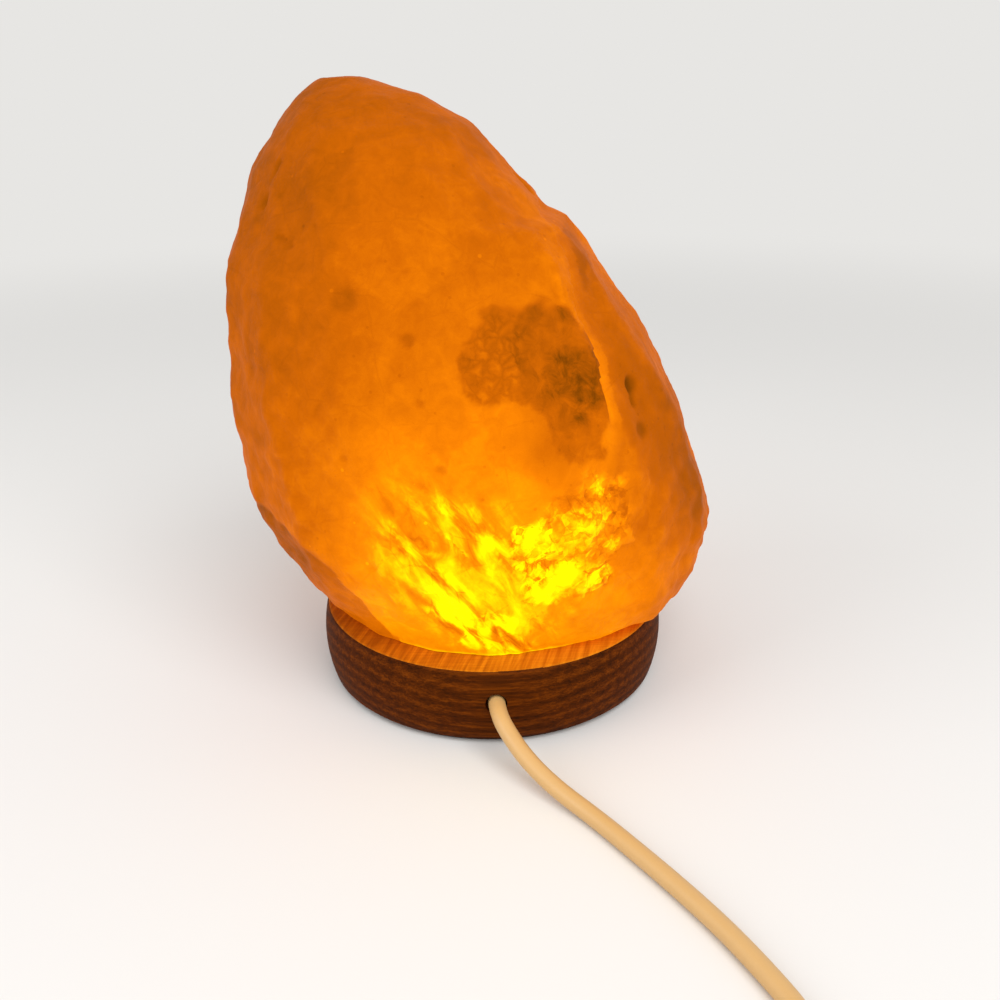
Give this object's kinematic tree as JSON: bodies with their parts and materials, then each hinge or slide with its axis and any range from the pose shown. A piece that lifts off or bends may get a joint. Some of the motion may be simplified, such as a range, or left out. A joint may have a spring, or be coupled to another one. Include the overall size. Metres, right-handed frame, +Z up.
{
  "type": "salt crystal lamp",
  "caption": "Table lamp: a hollowed, rough-hewn block of orange rock salt over a small screw-in bulb on a turned wooden base, with a cord, in-line switch and plug.",
  "frame": {"origin": "centre of the pad's underside, on the surface that the lamp stands on", "axes": "+Z up; the cord leaves the wooden base towards -Y, the lamp's front, over which the picture was taken; +X to the lamp's right as the picture shows it"},
  "size_m": [0.1575, 0.382, 0.1895],
  "materials": {
    "salt_crystal": "hewn",
    "wooden_base": "satin",
    "base_pad": "matt",
    "mounting_plate": "zinc plated",
    "plate_screws": "zinc plated",
    "nipple": "zinc plated",
    "nipple_nut": "zinc plated",
    "holder_cap": "moulded",
    "cap_lock_screw": "moulded",
    "holder_sleeve": "moulded",
    "terminal_block": "unglazed",
    "screw_shell": "rolled",
    "centre_contact": "bent strip",
    "terminal_screws": "zinc plated",
    "holder_cores": "matt",
    "bulb_cap": "rolled",
    "bulb_insulator": "glossy",
    "bulb_tip": "solder",
    "bulb_glass": "clear",
    "bulb_stem": "clear",
    "lead_wires": "drawn",
    "support_wire": "drawn",
    "filament": "glowing",
    "cord_inner": "satin",
    "cord_lead": "satin",
    "cord_link": "satin",
    "cord_coil": "satin",
    "cord_tail": "satin",
    "switch_base": "moulded",
    "switch_cover": "moulded",
    "switch_screws": "zinc plated",
    "rocker": "moulded",
    "rocker_contact": "plain",
    "fixed_contacts": "plain",
    "sheath_ends": "satin",
    "plug_body": "moulded",
    "plug_pins": "plated",
    "pin_sleeves": "matt",
    "plug_relief": "satin"
  },
  "bodies": {
    "base": {"wooden_base": "wooden_base", "base_pad": "base_pad", "mounting_plate": "mounting_plate", "plate_screws": "plate_screws", "nipple": "nipple", "nipple_nut": "nipple_nut", "holder_cap": "holder_cap", "cap_lock_screw": "cap_lock_screw", "holder_sleeve": "holder_sleeve", "terminal_block": "terminal_block", "screw_shell": "screw_shell", "centre_contact": "centre_contact", "terminal_screws": "terminal_screws", "holder_cores": "holder_cores", "cord_inner": "cord_inner", "cord_lead": "cord_lead", "cord_link": "cord_link", "cord_coil": "cord_coil", "cord_tail": "cord_tail", "switch_base": "switch_base", "switch_cover": "switch_cover", "switch_screws": "switch_screws", "fixed_contacts": "fixed_contacts", "sheath_ends": "sheath_ends", "plug_body": "plug_body", "plug_pins": "plug_pins", "pin_sleeves": "pin_sleeves", "plug_relief": "plug_relief"},
    "crystal": {"salt_crystal": "salt_crystal"},
    "bulb": {"bulb_cap": "bulb_cap", "bulb_insulator": "bulb_insulator", "bulb_tip": "bulb_tip", "bulb_glass": "bulb_glass", "bulb_stem": "bulb_stem", "lead_wires": "lead_wires", "support_wire": "support_wire", "filament": "filament"},
    "rocker": {"rocker": "rocker", "rocker_contact": "rocker_contact"}
  },
  "joints": [
    {"name": "crystal_lift", "type": "slide", "parent": "base", "child": "crystal", "axis": [0, 0, 1], "range_m": [0, 0.084]},
    {"name": "bulb_turn", "type": "hinge", "parent": "base", "child": "bulb", "pos_m": [0, 0, 0.055], "axis": [0, 0, 1], "range_deg": [0, 90]},
    {"name": "rocker_tilt", "type": "hinge", "parent": "base", "child": "rocker", "pos_m": [-0.007, -0.2, 0.0128], "axis": [0, 1, 0], "range_deg": [-16, 0]}
  ]
}
